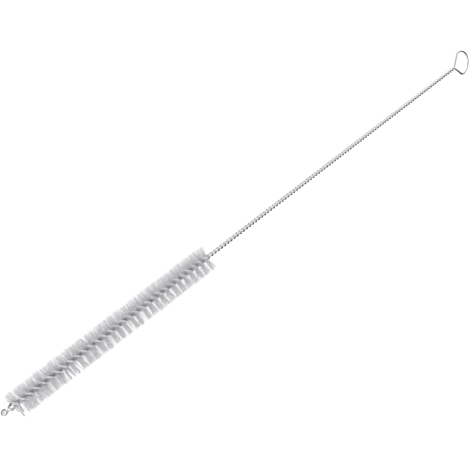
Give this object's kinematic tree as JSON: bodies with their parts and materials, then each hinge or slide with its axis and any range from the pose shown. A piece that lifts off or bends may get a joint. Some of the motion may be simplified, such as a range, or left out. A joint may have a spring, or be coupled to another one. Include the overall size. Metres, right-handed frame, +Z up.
{
  "type": "bottle brush",
  "caption": "Slim twisted-wire bottle brush: helical rows of white nylon bristles on a folded steel wire, a long bare stem and a small hanging ring",
  "frame": {"origin": "on the surface that the brush lies on, under the middle of its bounding box", "axes": "+X along the wire from the folded tip to the hanging ring, +Y across the brush in the plane of the ring, +Z up. The wire falls by about 1.5 degrees towards the ring, because the head is thicker than the stem."},
  "size_m": [0.3, 0.0136, 0.0142],
  "materials": {
    "wire": "bright drawn wire",
    "bristles": "translucent nylon filament"
  },
  "bodies": {
    "root": {"wire": "wire", "bristles": "bristles"}
  },
  "joints": []
}
